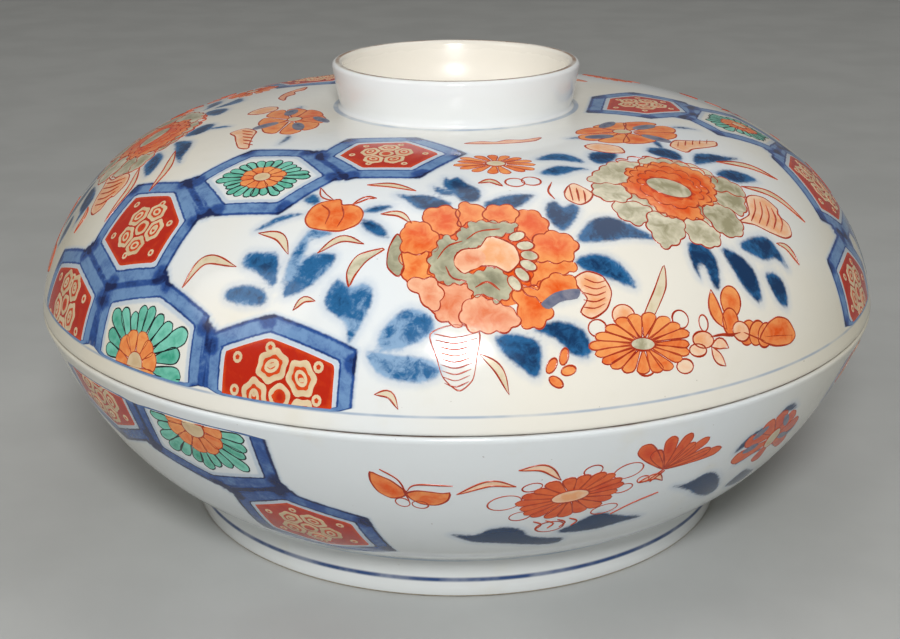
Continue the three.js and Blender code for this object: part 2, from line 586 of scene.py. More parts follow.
class Nodes:
    """Short calls for the node trees below."""

    def __init__(self, name):
        self.material = bpy.data.materials.new(name)
        self.material.use_nodes = True
        self.tree = self.material.node_tree
        self.shader = self.tree.nodes["Principled BSDF"]
        self.place = self.tree.nodes.new("ShaderNodeTexCoord").outputs["Object"]

    def put(self, value, socket):
        """Links or sets a socket, as the value asks."""
        if isinstance(value, bpy.types.NodeSocket):
            self.tree.links.new(value, socket)
        else:
            socket.default_value = value

    def math(self, operation, a, b=0.0, clamp=False):
        node = self.tree.nodes.new("ShaderNodeMath")
        node.operation = operation
        node.use_clamp = clamp
        self.put(a, node.inputs[0])
        self.put(b, node.inputs[1])
        return node.outputs[0]

    def add(self, a, b, clamp=False):
        return self.math("ADD", a, b, clamp)

    def times(self, a, b):
        return self.math("MULTIPLY", a, b)

    def swing(self, value, most):
        """How far a value is from its middle, times a factor."""
        return self.times(self.math("SUBTRACT", value, 0.5), most)

    def fade(self, value, start, end, low=0.0, high=1.0):
        """A smooth step from low at start to high at end."""
        node = self.tree.nodes.new("ShaderNodeMapRange")
        node.interpolation_type = "SMOOTHSTEP"
        for socket, v in zip(node.inputs, (value, start, end, low, high)):
            self.put(v, socket)
        return node.outputs[0]

    def mix(self, amount, a, b):
        node = self.tree.nodes.new("ShaderNodeMix")
        node.data_type = "RGBA"
        self.put(amount, node.inputs[0])
        self.put(a, node.inputs[6])
        self.put(b, node.inputs[7])
        return node.outputs[2]

    def near(self, value, at, half, soft):
        """1 where value is within half of at, fading out over soft."""
        away = self.math("ABSOLUTE", self.math("SUBTRACT", value, at))
        return self.fade(away, half, half + soft, 1.0, 0.0)

    def noise(self, per_mm, detail, rough=0.5, warp=0.0):
        node = self.tree.nodes.new("ShaderNodeTexNoise")
        self.put(self.place, node.inputs["Vector"])
        node.inputs["Scale"].default_value = per_mm / MM
        node.inputs["Detail"].default_value = detail
        node.inputs["Roughness"].default_value = rough
        node.inputs["Distortion"].default_value = warp
        return node.outputs["Fac"]

    def far_side(self):
        """Distance to the left or right of the middle, in mm."""
        node = self.tree.nodes.new("ShaderNodeSeparateXYZ")
        self.put(self.place, node.inputs[0])
        return self.math("DIVIDE", self.math("ABSOLUTE", node.outputs[0]), MM)

    def value(self, label):
        """A number marked on the vertices."""
        node = self.tree.nodes.new("ShaderNodeAttribute")
        node.attribute_name = label
        return node.outputs["Fac"]

    def bump(self, height, strength, distance):
        node = self.tree.nodes.new("ShaderNodeBump")
        node.inputs["Strength"].default_value = strength
        node.inputs["Distance"].default_value = distance * MM
        self.put(height, node.inputs["Height"])
        self.put(node.outputs[0], self.shader.inputs["Normal"])

    def finish(self, colour, rough):
        """The finished material."""
        self.put(colour, self.shader.inputs["Base Color"])
        self.put(rough, self.shader.inputs["Roughness"])
        self.shader.inputs["IOR"].default_value = 1.5
        return self.material


def white_glaze(n, down, specks, warmth, cream_before, wall):
    """The glaze without its painting: white, cream in patches, with dark specks; the darker cream at the
    left and right sides is partly the glaze's cream and partly painted shade.
    """
    broad = n.noise(0.012, 2.0)
    dirt = n.fade(n.noise(0.05, 4.0, 0.6), 0.55, 0.8, 0.0, 0.35)
    from_wall = n.math("ABSOLUTE", n.add(down, RING_WALL_MIDDLE))
    white = n.mix(n.fade(broad, 0.72 - warmth, 0.95 - warmth), srgb(226, 231, 233), srgb(233, 229, 217))
    for amount, colour in (
            # painted shade: darker cream towards the left and right sides, where the body turns away from
            # the front light; partly the glaze's own cream
            (n.fade(n.far_side(), 60.0, 118.0, 0.0, 0.8), srgb(222, 212, 184)),
            (n.fade(down, 2.0, 34.0, 1.7 * warmth, 0.0), srgb(235, 230, 215)),
            (n.fade(down, cream_before, cream_before + 0.6, 1.0, 0.0), srgb(241, 236, 225)),
            (dirt, srgb(219, 213, 192)),
            (n.fade(from_wall, 6.2, 7.6, wall, 0.0), srgb(243, 246, 247)),
            (specks, srgb(120, 100, 80))):
        white = n.mix(amount, white, colour)
    return white


def with_leaves(n, colour, fine, wash, streak, strength):
    """Soft-edged leaves, pale where the brush was dry and darker where the blue has pooled."""
    leaf = n.add(n.value("leaf"), n.swing(fine, 1.0))
    colour = n.mix(n.fade(leaf, -0.4, 2.4, 0.42, 0.0), colour, srgb(168, 186, 208))
    depth = n.add(n.times(n.value("ink"), 0.8), n.times(n.fade(wash, 0.3, 0.7), 0.45))
    depth = n.math("SUBTRACT", depth, n.fade(leaf, -2.4, 0.2, -strength, 0.3 - strength))
    depth = n.add(depth, n.swing(streak, 0.9), True)
    blue = n.mix(n.fade(depth, 0.0, 0.45), srgb(136, 168, 200), srgb(36, 98, 148))
    blue = n.mix(n.fade(depth, 0.42, 0.95), blue, srgb(10, 50, 90))
    return n.mix(n.fade(leaf, -0.75, 0.45, 1.0, 0.0), colour, blue)


def with_bands(n, colour, fine, wash, streak, strength):
    """Cobalt bands round the panels, darker along both edges, where two meet and at the corners."""
    band = n.add(n.value("band"), n.swing(fine, 0.5))
    ridge = n.value("ridge")
    outer = n.math("SUBTRACT", band, n.fade(ridge, 0.5, 3.5, 1.2, 0.0))
    halo = n.times(n.fade(band, -0.4, 0.5), n.fade(outer, BAND + 0.1, BAND + 1.5, 0.75, 0.0))
    colour = n.mix(halo, colour, srgb(184, 200, 216))
    edges = n.math("MAXIMUM", n.near(band, 1.4, 0.05, 0.45), n.near(outer, BAND, 0.1, 0.8))
    edges = n.math("MAXIMUM", n.times(edges, 0.5), n.fade(ridge, 0.8, 2.4, 0.5, 0.0))
    dark = n.add(edges, n.fade(wash, 0.25, 0.75, strength, 0.36 + strength))
    dark = n.add(dark, n.swing(streak, 0.55))
    blot = n.add(n.value("blot"), n.swing(wash, 7.0))
    dark = n.add(dark, n.fade(blot, 0.8, 3.4, 0.6, 0.0), True)
    cobalt = n.mix(n.fade(dark, 0.05, 0.6), srgb(112, 148, 190), srgb(42, 80, 146))
    cobalt = n.mix(n.fade(dark, 0.55, 1.0), cobalt, srgb(14, 32, 80))
    within = n.times(n.fade(band, 1.0, 1.35), n.fade(outer, BAND, BAND + 0.6, 1.0, 0.0))
    return n.mix(within, colour, cobalt)


def with_line(n, colour, down, at, half, soft, patchy, paint):
    """A line round the body at a distance along the profile, laid unevenly."""
    return n.mix(n.times(n.near(down, at, half, soft), patchy), colour, paint)


def porcelain(name, warmth, cream_before, wall, strength, pale_lines, dark_lines, stains, bare):
    """White glaze over the underglaze blue. Warmth is the share of it that has gone cream, it is
    all cream before a given distance along the profile, wall whitens the wall of the ring handle,
    and strength darkens the blue. The lines and the bare clay lie at distances along the profile
    too, each as (distance, half width), and the stains as (distance, half width, strength)."""
    n = Nodes(name)
    down = n.value("down")
    fine = n.noise(0.9, 3.0)
    wash = n.noise(0.16, 4.0, 0.6, 0.6)
    streak = n.noise(0.45, 5.0, 0.65, 1.2)
    specks = n.fade(n.noise(0.8, 1.0), 0.80, 0.84, 0.0, 0.5)
    colour = white_glaze(n, down, specks, warmth, cream_before, wall)
    colour = with_leaves(n, colour, fine, wash, streak, strength)
    colour = with_bands(n, colour, fine, wash, streak, strength)
    for at, half in pale_lines:
        patchy = n.fade(n.noise(0.09, 2.0), 0.3, 0.6, 0.25, 0.7)
        colour = with_line(n, colour, down, at, half, 0.45, patchy, srgb(132, 156, 186))
    for at, half in dark_lines:
        patchy = n.fade(n.noise(0.12, 3.0), 0.3, 0.6, 0.7, 1.0)
        colour = with_line(n, colour, down, at, half, 0.7, patchy, srgb(48, 76, 126))
    for at, half, most in stains:
        patchy = n.fade(n.noise(0.07, 4.0, 0.6), 0.35, 0.6, 0.15, most)
        colour = with_line(n, colour, down, at, half, 0.5, patchy, srgb(146, 108, 76))
    clay = 0.0
    for at, half in bare:
        clay = n.math("MAXIMUM", clay, n.near(down, at, half, 0.15))
    grog = n.mix(n.fade(n.noise(1.6, 3.0), 0.35, 0.7), srgb(206, 192, 168), srgb(178, 158, 128))
    colour = n.mix(clay, colour, grog)
    n.bump(n.add(n.noise(0.25, 2.0), n.times(specks, -0.6)), 0.25, 0.12)
    matt_inside = n.fade(down, cream_before - 4.0, cream_before, 0.2, 0.0)
    rough = n.add(n.fade(clay, 0.0, 1.0, 0.09, 0.8), matt_inside)
    return n.finish(colour, n.add(rough, n.fade(wash, 0.3, 0.7, 0.0, 0.05)))


def wash_enamel(name, deep, light, rim_reach, spread, rough=0.13, grain=0.5):
    """A translucent colour: light within rim_reach of its edge, deeper inside, and pooled by the
    brush. spread is how much one shape differs from the next, and grain how uneven each is."""
    n = Nodes(name)
    pool = n.noise(0.28, 3.0, 0.55, 0.8)
    fine = n.noise(1.3, 3.0, 0.6)
    inner = n.fade(n.value("rim"), 0.1, rim_reach, 0.0, 1.0)
    amount = n.times(inner, 1.0 - spread)
    amount = n.add(amount, n.times(n.fade(pool, 0.3, 0.7), grain))
    amount = n.add(amount, n.swing(n.value("tone"), spread))
    amount = n.add(amount, n.swing(fine, 0.35), True)
    n.bump(pool, 0.3, 0.1)
    return n.finish(n.mix(amount, light, deep), n.fade(fine, 0.3, 0.7, rough, rough + 0.12))


def enamel_materials():
    """The finish of each enamel colour."""
    return {
        "red": wash_enamel("iron_red_ground", srgb(184, 34, 6), srgb(212, 72, 22), 1.2, 0.3),
        "line": wash_enamel("iron_red_line", srgb(160, 38, 12), srgb(198, 82, 42), 0.35, 0.5),
        "orange": wash_enamel("orange_enamel", srgb(226, 84, 14), srgb(242, 160, 92), 3.0, 0.55),
        "green": wash_enamel("green_enamel", srgb(40, 150, 120), srgb(128, 206, 184), 2.2, 0.5, 0.16),
        "black": wash_enamel("black_line", srgb(14, 26, 26), srgb(30, 62, 58), 0.35, 0.4),
        "olive": wash_enamel("olive_wash", srgb(156, 150, 118), srgb(222, 214, 188), 3.6, 0.5, grain=0.7),
        "moss": wash_enamel("moss_wash", srgb(130, 128, 104), srgb(188, 184, 156), 3.0, 0.5, grain=0.7),
        "salmon": wash_enamel("salmon_wash", srgb(222, 112, 66), srgb(242, 186, 150), 3.0, 0.5),
        "vermilion": wash_enamel("bowl_orange", srgb(204, 58, 14), srgb(226, 104, 48), 2.0, 0.5),
        "cream": wash_enamel("gilt_cream", srgb(202, 172, 130), srgb(224, 202, 164), 1.4, 0.5, 0.3),
        "peach": wash_enamel("peach_wash", srgb(238, 168, 116), srgb(244, 214, 184), 1.8, 0.5),
        "buff": wash_enamel("buff_wash", srgb(206, 190, 152), srgb(224, 212, 184), 1.2, 0.4),
        "slate": wash_enamel("slate_wash", srgb(58, 74, 110), srgb(132, 132, 146), 1.6, 0.4),
    }


# ---------------------------------------------------------------- flowers and panels
def chrysanthemum(brush, centre, rx, ry, turn, petals, colour, edge="line", hub=0.3, tip=0.55,
                  window=None, width=0.45, lift=GROUND):
    """A ring of petals round a middle, on an ellipse. hub is how far out the petals start and tip
    how wide they are near the end. A window holds the petals inside a panel."""
    c, s = math.cos(math.radians(turn)), math.sin(math.radians(turn))
    spin = np.array([[c, s], [-s, c]])
    for i in range(petals):
        middle = 2 * math.pi * (i + rng.uniform(-0.12, 0.12)) / petals
        half = math.pi / petals
        end = np.array([rx * math.cos(middle), ry * math.sin(middle)]) @ spin
        long = rng.uniform(0.92, 1.03)
        if window is not None:
            long *= min(1.0, room(np.array(centre), end, window))
        outline = []
        for out, aside in ((hub, -0.5), (0.8, -tip - 0.25), (0.94, -tip), (1.0, 0.0), (0.94, tip),
                           (0.8, tip + 0.25), (hub, 0.5)):
            a = middle + half * aside
            outline.append((out * long * rx * math.cos(a), out * long * ry * math.sin(a)))
        brush.shape(colour, np.array(outline) @ spin + centre, lift, edge, width)


def room(centre, end, window):
    """The share of the way from the centre to the end that stays just inside a convex window."""
    share = 2.0
    for a, n in sides(np.array(window, float), centre):
        if end @ n > 0:
            share = min(share, ((a - centre) @ n - PANEL_CLEAR) / (end @ n))
    return share


def gilt_flower(brush, window, middle, spread):
    """The pale five-petalled flower of a red panel, with a ringed dot in each corner."""
    poly = np.array(window, float)
    size = spread * math.sqrt(np.mean(np.sum((poly - poly.mean(0)) ** 2, axis=1))) / PANEL_SIZE
    if middle is None:
        middle = poly.mean(0)
    lean = rng.uniform(0.0, 1.2)
    for i in range(5):
        a = lean + 2 * math.pi * i / 5
        at = middle + np.array([math.cos(a), math.sin(a)]) * 6.6 * size
        turn = math.degrees(a) + 90
        brush.oval("cream", at, 4.3 * size, 3.7 * size, turn, MIDDLE, None, lobes=6, depth=0.16)
        brush.oval("red", at, 2.9 * size, 2.3 * size, turn, UPPER, None, lobes=6, depth=0.2)
        brush.oval("cream", at, 1.9 * size, 1.4 * size, turn, UPPER + DOT_RISE, None)
        brush.oval("red", at, 1.1 * size, 0.7 * size, turn, LINES, None)
    brush.oval("cream", middle, 2.9 * size, 2.9 * size, 0.0, MIDDLE, None, lobes=5, depth=0.1)
    brush.oval("red", middle, 1.7 * size, 1.7 * size, 0.0, UPPER, None)
    for corner in poly:
        spot = poly.mean(0) + (corner - poly.mean(0)) * 0.74
        brush.oval("cream", spot, 1.25 * size, 1.25 * size, 0.0, MIDDLE, None)
        brush.oval("red", spot, 0.6 * size, 0.6 * size, 0.0, UPPER, None)


def red_panel(brush, window, middle=None, spread=1.0):
    """An iron-red ground in a blue band, with a pale flower on it."""
    brush.panels.append((brush.chart, brush.xy(window)))
    brush.closed("red", respaced(np.array(window + window[:1], float), 1.5)[:-1], GROUND, None)
    gilt_flower(brush, window, middle, spread)


def green_panel(brush, window, centre, rx, ry, turn):
    """A green flower with an orange heart in a blue band."""
    brush.panels.append((brush.chart, brush.xy(window)))
    chrysanthemum(brush, centre, rx, ry, turn, 24, "green", "black", 0.4, 0.8, window, 0.42)
    chrysanthemum(brush, centre, rx * 0.38, ry * 0.38, turn, 11, "orange", "line", 0.3, 0.85, None,
                  0.28, MIDDLE)
    brush.oval("cream", centre, rx * 0.14, ry * 0.14, turn, LINES, "line", 0.4)


# Windows of the lid's panels, in mm on the lid's chart
RED_WINDOWS = (
    [(-29.5, -58.5), (-25, -50.5), (-13, -50), (-4.5, -60), (-11.5, -68.5), (-23.5, -67)],
    [(-96.5, -60.5), (-86, -51.8), (-74.5, -60), (-71, -73), (-79, -82), (-91, -75)],
    [(-133, -52), (-119, -48), (-109, -60), (-103.5, -76), (-113, -83), (-128, -72)],
)
EDGE_RED = [(-65, -124.5), (-61, -115), (-48, -115.8), (-31.5, -126), (-34, -136), (-50, -131)]
GREEN_WINDOW = [(-63, -59.5), (-52.5, -53.3), (-41, -57.5), (-34.8, -68.8), (-44.5, -76.3),
                (-57.5, -71.5)]
EDGE_GREEN = [(-104.5, -94.5), (-95.5, -85.3), (-79, -94), (-70.3, -105.5), (-76, -117), (-95, -108)]
RIGHT_RED = (
    [(42.5, -10), (45, 5), (53, 9.5), (62.5, 5), (64, -7), (53, -14.5)],
    [(93.5, -27), (97, -13), (108, -6), (118, -14), (112.5, -34), (103.5, -40)],
    [(110.3, -61.4), (115.4, -46.4), (127.3, -40.4), (136, -49), (128, -68), (119, -69)],
)
RIGHT_GREEN = [(69, -13), (72, -2), (82, 3), (92, -6), (88, -16), (74, -20)]


def edge_panels(brush):
    """The two panels that the lid's margin cuts off."""
    green_panel(brush, EDGE_GREEN, (-92, -104.5), 24, 24, 40)
    red_panel(brush, EDGE_RED, (-48, -130), 1.3)


def panel_group(brush):
    """The six panels that run from the ring handle down the left to the margin."""
    for window in RED_WINDOWS:
        red_panel(brush, window)
    green_panel(brush, GREEN_WINDOW, (-49, -65), 17.5, 13.5, -30)
    edge_panels(brush)


def right_panels(brush):
    """The panels that run from the ring handle down the right to the margin."""
    for window in RIGHT_RED:
        red_panel(brush, window)
    green_panel(brush, RIGHT_GREEN, (81, -8), 16, 12.5, 10)
    edge_panels(brush.turned(RIGHT_EDGE_TURN))


def scallops(brush, centre, rx, ry, start, end, count, depth, width=0.5):
    """A row of little arcs along part of an ellipse, as on the edge of a frilled petal."""
    step = math.radians(end - start) / count
    for i in range(count):
        arc = []
        for part, out in ((0.0, 1.0), (0.3, 1.0 + depth), (0.7, 1.0 + depth), (1.0, 1.0)):
            a = math.radians(start) + step * (i + part)
            arc.append((centre[0] + rx * out * math.cos(a), centre[1] + ry * out * math.sin(a)))
        brush.stroke(arc, width)


def great_peony(brush):
    """The large peony: orange petals round a grey-olive heart with a pale curled middle."""
    petals = (
        [(-8.5, -89), (-6, -87), (-2, -86.5), (0, -88.5), (0, -95), (-4.5, -96), (-7, -92.5)],
        [(-13, -93), (-10, -91.5), (-8, -92), (-5, -96), (-5.5, -100.5), (-13, -100.5)],
        [(-13.5, -100.5), (-7.5, -101), (-7.5, -106), (-6.5, -108), (-12.5, -108.5), (-13.2, -105)],
        [(-12.5, -108.5), (-6, -108.2), (-3.8, -112), (-5, -115.5), (-7.5, -115.5), (-9, -112.7)],
        [(-6, -109), (-3.8, -110), (2, -109.5), (3.5, -112.5), (0.5, -117), (1, -120), (-6, -117)],
        [(0.5, -116), (4, -112.7), (11, -114.5), (15, -117.5), (12, -120.5), (4, -121), (1, -119)],
        [(13, -110.5), (18, -109.3), (21, -111.5), (23, -115), (20, -119), (15.5, -119), (14.5, -115)],
        [(15, -110), (19, -110), (22, -106), (27, -105.5), (29, -108), (26, -110.5), (21, -113)],
        [(19, -102.5), (27, -101), (28, -104), (22, -106), (18, -109), (18, -105)],
        [(17.5, -97), (21, -94), (24.5, -93.5), (28.5, -95.5), (28.3, -98), (26.5, -101.5), (19, -102.3)],
        [(13.8, -89), (17, -86.8), (20, -88.5), (21.8, -92), (20.5, -95), (17.5, -96.5), (14.5, -94.5)],
        [(6.5, -87.5), (9, -86), (13, -86), (14.3, -88.5), (13.3, -91.3), (7, -91.5)],
        [(0, -87), (2, -85), (5, -86.5), (7, -87.5), (6.5, -91), (2.5, -92), (0.3, -93)],
    )
    core = [(-4, -97), (-2, -96.5), (-0.5, -98.5), (0.5, -94), (2, -94.5), (3.5, -92), (13.5, -92),
            (13, -94.5), (9, -96.5), (7, -96.5), (6, -99), (2, -100.3), (-0.5, -102), (-0.3, -105.5),
            (2, -107), (5, -106.5), (8, -105), (10.5, -106), (12, -108.5), (12.5, -112), (9, -114),
            (7, -112), (4, -112.5), (2, -109.5), (-3, -109.5), (-6, -107), (-7, -103), (-5.5, -100.5)]
    curl = [(-0.8, -102.5), (1, -100.5), (5, -99.8), (7, -96.7), (10, -97), (13.5, -99), (14.7, -103),
            (12, -106.3), (9, -105), (5, -105), (1.5, -107), (-0.6, -105)]
    brush.oval("orange", (6, -102), 16.5, 13, -12, GROUND / 2, None)
    for i, petal in enumerate(petals):
        brush.frilled("salmon" if i in (3, 4, 5) else "orange", petal, 4.2, 0.8,
                      GROUND + OVERLAP * (i % 2))
    brush.shape("moss", [(-14.5, -95), (-13.3, -97), (-13.5, -101), (-13, -105), (-14.5, -107),
                          (-17, -104), (-16.5, -99)], GROUND)
    brush.frilled("moss", core, 2.8, 0.9, MIDDLE, 0.35)
    brush.shape("peach", curl, UPPER)
    brush.oval("salmon", (2.8, -103.3), 3.9, 2.7, 20, LINES, None)
    for at, turn in (((14, -96), 30), ((16, -98.6), 10), ((17, -101.3), -5), ((16.7, -104), -20),
                     ((15.3, -106.6), -40), ((13.5, -109), -50)):
        brush.oval("olive", at, 2.2, 1.35, turn, UPPER)
    for line in ([(-3, -105), (-1.5, -108), (2, -109)], [(-5, -103), (-2.5, -99.5), (1, -98)],
                 [(2, -97.5), (5, -95), (10, -94)], [(4, -110.5), (7, -109), (10, -111)]):
        brush.stroke(line, 0.6)
    brush.shape("peach", [(28, -106), (31, -103.5), (35, -104), (37.5, -107.5), (36.5, -112),
                          (33, -115), (30, -114), (31.5, -110.5), (29.5, -108.5)], GROUND)
    for i in range(5):
        brush.stroke([(30.5, -105.5 - 1.8 * i), (33.5, -106 - 1.6 * i), (36, -104.8 - 1.5 * i)], 0.4)
    brush.shape("slate", [(20, -113.5), (23, -110.5), (26.5, -109), (29.5, -108.5), (29, -110.8),
                          (25, -112.2), (22, -114.5)], UPPER, None)


def second_peony(brush):
    """A frilled orange peony in two rounds of pale olive petals, with buds at both sides."""
    outer = (
        [(33, -73), (32.5, -71), (35, -66.5), (38, -62), (42, -59.5), (46, -60), (43, -66), (42, -71)],
        [(33, -76), (34, -73.5), (40, -72.5), (42.5, -76), (41, -79), (36, -79.8), (33.5, -78)],
        [(38, -80), (42, -78.5), (47, -79), (47.5, -81), (46, -85), (43.5, -86.5), (39, -84.5)],
        [(47.5, -80.5), (51, -81), (55.5, -80.5), (56.5, -84), (55, -88), (50.5, -91.5), (46.5, -86)],
        [(56, -81), (60, -78.5), (64, -79), (66.5, -81), (65.5, -85), (61.5, -86.5), (58, -86)],
        [(61.5, -74), (65, -70.5), (69, -69.5), (72, -72), (73.5, -75.5), (71, -79), (66, -79.8)],
        [(66, -65), (69, -61), (74, -62), (74.5, -67), (73, -70), (69, -69.5), (66, -69)],
        [(65, -60), (67.5, -56.5), (72, -57), (74.5, -58.5), (74, -62), (69, -62.5), (66, -64)],
        [(46, -59.5), (48, -55.5), (54, -54), (60, -54), (66, -56), (65, -59.5), (58, -57), (50, -58)],
    )
    frill = [(42, -65), (43.5, -63.5), (47, -61), (50, -58), (55, -56.5), (60, -57), (64, -58.5),
             (65.5, -62), (65.5, -68), (64, -71), (60, -73.5), (61.5, -77), (57, -79.5), (53, -80.5),
             (49, -79), (47, -76.5), (43, -75), (41, -72), (43, -69)]
    brush.oval("olive", (53.5, -69), 16, 12, 0, GROUND / 2, None)
    for i, petal in enumerate(outer):
        brush.frilled("olive", petal, 4.0, 0.7, GROUND + OVERLAP * (i % 2))
    brush.frilled("orange", frill, 3.0, 1.0, MIDDLE)
    scallops(brush, (53.5, -68.5), 9.6, 8.6, -15, 195, 9, 0.13)
    scallops(brush, (53.5, -68.5), 7.6, 6.0, -20, 200, 8, 0.15)
    scallops(brush, (54, -67), 15.5, 11.8, 35, 150, 7, 0.1, 0.4)
    scallops(brush, (53, -69), 8.0, 7.0, 200, 340, 4, 0.12)
    brush.oval("red", (53, -69), 7.3, 4.7, 0, UPPER, None, lobes=11, depth=0.22)
    brush.oval("olive", (53, -69), 6.0, 3.6, 0, UPPER + DOT_RISE, "line", 0.4)
    brush.shape("peach", [(72.5, -72.5), (75.5, -68), (75, -62), (77, -59), (81, -57.3), (85, -59),
                          (85, -61.5), (88.5, -62.5), (89.5, -66), (87, -69), (82, -70.5), (77, -71)])
    for i in range(5):
        brush.stroke([(76 + 2.4 * i, -70.3 + 0.6 * i), (77.5 + 2.2 * i, -65 + 0.4 * i),
                      (77.5 + 1.8 * i, -60.3)], 0.5)
    brush.shape("peach", [(26, -79), (27, -76), (28.5, -74.5), (31, -76), (33, -78), (32, -81),
                          (29.5, -83), (26.5, -81.5)])
    for i in range(3):
        brush.stroke([(27.3 + 1.7 * i, -76 - 0.6 * i), (27.6 + 1.7 * i, -79), (28 + 1.5 * i, -81.8)], 0.5)
    brush.stroke([(23, -75), (22, -79), (23.5, -82)], 0.5)


def second_peony_leaves(brush):
    """The blue leaves round the second peony."""
    for ink, points in (
            (0.6, [(20, -62), (24, -58.5), (28, -58.5), (31, -61), (32, -63.5), (26, -63), (20, -63.5)]),
            (0.6, [(20, -71), (24, -66.5), (28, -65.8), (33, -66.5), (29, -68.5), (25, -71.5)]),
            (0.7, [(35, -63), (33, -60), (34, -56), (38, -54.5), (41, -55), (40, -59), (38, -62)]),
            (0.8, [(50, -48), (55, -47), (58, -49), (58, -53), (53, -53.5), (49, -51.5)]),
            (0.75, [(61.5, -53.5), (62, -47), (66, -44), (71, -42.5), (75.5, -40.5), (71, -46),
                    (66, -50)]),
            (0.7, [(66.5, -55.5), (70, -51), (75, -49), (80, -49.5), (77, -53), (73, -56), (68, -56)]),
            (0.8, [(72, -81.5), (76, -76), (81, -73), (85, -75), (89, -79), (84, -78.5), (80, -81.5)]),
            (0.9, [(80.5, -85.5), (84, -83), (88, -84.5), (90, -90), (86, -90.5), (82.5, -88)]),
            (0.85, [(66.5, -85), (71, -84), (76, -85.5), (79, -89), (80.5, -94.5), (75, -93.5),
                    (71, -90.5)]),
            (0.9, [(57, -88), (59.5, -86), (63, -86.5), (66, -90), (67, -97.5), (64.5, -96.5), (62, -92.5),
                   (60.5, -93), (61.5, -97), (58.5, -93.5)])):
        brush.leaf(ink, points)
    brush.wisp(0.6, [(52, -41), (52.5, -44.5), (54, -48)], 2.2)


def front_leaves(brush):
    """The blue leaves round the large peony, dark above it and pale at its left."""
    for ink, points in (
            (0.85, [(21, -88), (21.5, -84), (23.5, -82.5), (25.5, -84.5), (28, -82.5), (29.5, -84.5),
                    (28.5, -88.5), (25.5, -92.8), (23, -91.5)]),
            (0.8, [(28.5, -94.5), (32, -88), (37, -85.5), (43, -87), (49, -89.5), (42, -91.5), (36, -94),
                   (30, -95.5)]),
            (0.6, [(28, -101), (33, -98), (38, -98.5), (42, -101.5), (44, -105), (38, -104.5),
                   (31, -103.5)]),
            (0.7, [(18, -119.5), (24, -117), (30, -117.5), (33, -120.5), (33.5, -124), (29, -124.5),
                   (24, -121.5)]),
            (0.65, [(9, -122), (14, -121), (20, -122.5), (21, -127), (20, -131), (14, -128), (10, -125)]),
            (0.3, [(-29.5, -105.5), (-26, -108), (-22, -107.5), (-20.5, -111), (-22, -115), (-25, -119.5),
                   (-28, -122), (-28, -117), (-33, -111.5)]),
            # the next two leaves are kept pale as painted highlight, where the key lamp's glint washes
            # them out
            (0.1, [(-20, -121), (-16, -117), (-12, -115), (-7, -117), (-6, -121), (-12, -124),
                   (-19, -124.5)]),
            (0.15, [(-23, -124), (-16, -125.5), (-8, -127), (-4, -130), (-9, -132.5), (-18, -131),
                    (-22, -128)]),
            (0.4, [(-45.5, -104), (-50, -98.5), (-53.5, -95.5), (-52, -92), (-47, -93.5), (-44, -95),
                   (-44, -100)]),
            (0.6, [(-48, -107.5), (-54, -106), (-59, -102.5), (-58, -100), (-52, -101), (-48, -104)]),
            (0.45, [(-43.5, -107), (-40, -100.5), (-36, -97.5), (-29.5, -98.5), (-31, -102.5),
                    (-37, -106.5)]),
            (0.75, [(1, -84.5), (-2.5, -79), (-3, -76.5), (0, -74), (2.5, -77), (5.5, -80), (5, -84.5)])):
        brush.leaf(ink, points)
    for ink, points, width in (
            (0.8, [(-1.5, -86), (-7, -85), (-13, -82)], 6), (0.6, [(-11, -83), (-15, -81)], 2),
            (0.7, [(0.5, -82), (-2, -78), (-3, -74)], 3), (0.7, [(0, -82), (-4, -80.5), (-6, -78)], 2.6),
            (0.8, [(6, -86), (12, -84.5), (18.5, -81)], 5.5),
            (0.8, [(22, -112.5), (25, -110.5), (29, -110)], 3),
            (0.2, [(-43, -106), (-39.5, -98), (-35, -89)], 3.6), (0.35, [(-37, -91), (-30, -92)], 3.6),
            (0.6, [(-38, -76.5), (-35.5, -79), (-34, -82)], 3.8),
            (0.5, [(-50, -86), (-43, -84), (-37, -84)], 2.2), (0.6, [(-23, -86.5), (-15.5, -85.5)], 2.6),
            (0.7, [(-23.5, -89), (-20, -92.5), (-16.5, -96)], 3.6)):
        brush.wisp(ink, points, width)


